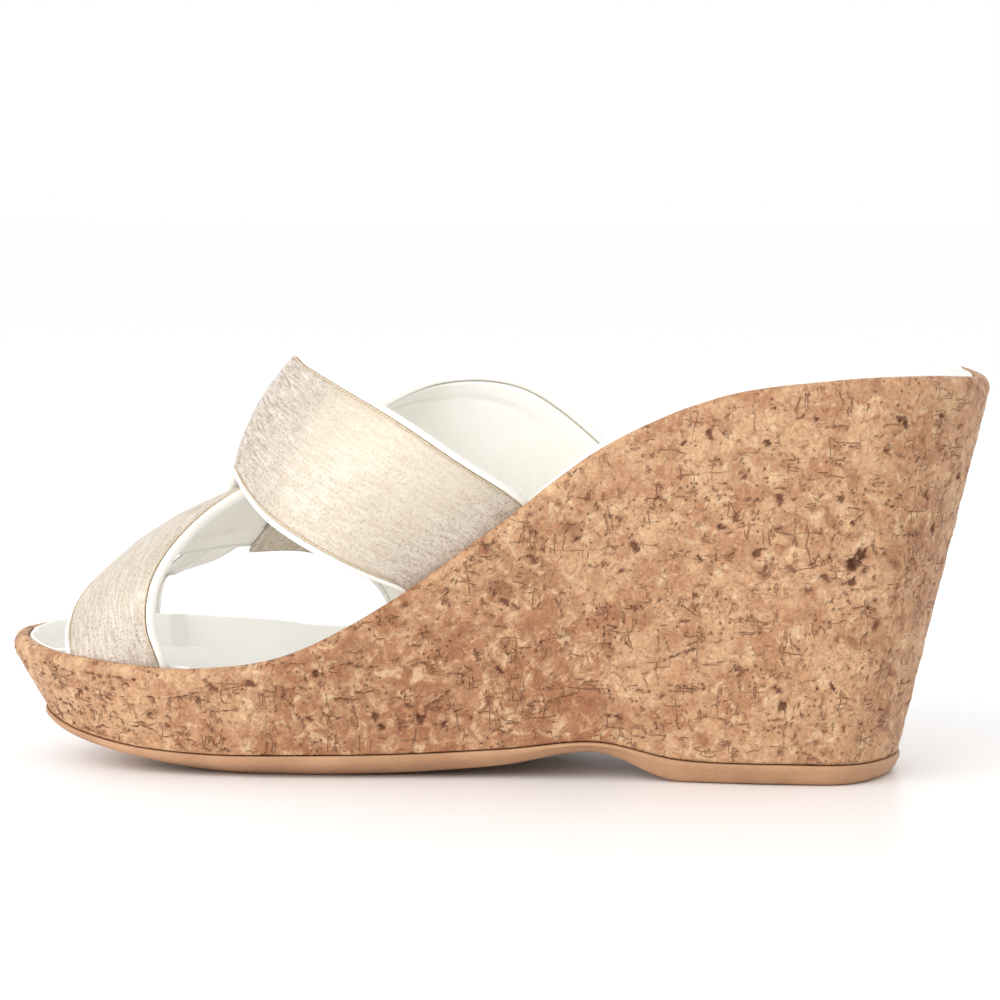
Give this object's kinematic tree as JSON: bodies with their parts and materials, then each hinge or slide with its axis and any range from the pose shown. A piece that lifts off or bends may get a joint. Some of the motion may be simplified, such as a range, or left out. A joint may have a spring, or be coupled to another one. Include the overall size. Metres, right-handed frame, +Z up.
{
  "type": "wedge sandal",
  "caption": "Slip-on mule sandal with a cork-covered wedge, a white footbed and two crossing fabric straps.",
  "frame": {"origin": "middle of the bounding box in plan, on the ground plane under the treads", "axes": "+X towards the heel, -X towards the toe, +Y towards the outer side of the foot (this is a right sandal), +Z up"},
  "size_m": [0.2348, 0.0898, 0.0985],
  "materials": {
    "outsole_rubber": "smooth tan rubber, satin",
    "cork": "cork sheet, tan with brown pits, satin varnish",
    "core": "pressed cork, matt",
    "steel": "plain steel",
    "brass": "plain brass",
    "board": "fibre board, matt",
    "foam": "soft open foam",
    "white_leather": "fine-grained white leather, satin",
    "champagne_fabric": "ribbed champagne fabric with a metallic sheen",
    "golden_piping": "thin golden cord"
  },
  "bodies": {
    "root": {"outsole": "outsole_rubber", "cork_cover": "cork", "wedge_core": "core", "steel_shank": "steel", "shank_rivets": "brass", "heel_nails": "steel", "insole_board": "board", "footbed_foam": "foam", "comfort_pad": "foam", "sock_lining": "white_leather", "front_strap_lining": "white_leather", "front_strap_foam": "foam", "front_strap_fabric": "champagne_fabric", "front_strap_edges": "white_leather", "front_strap_piping": "golden_piping", "rear_strap_lining": "white_leather", "rear_strap_foam": "foam", "rear_strap_fabric": "champagne_fabric", "rear_strap_edges": "white_leather", "rear_strap_piping": "golden_piping", "crossing_tab": "champagne_fabric"}
  },
  "joints": []
}
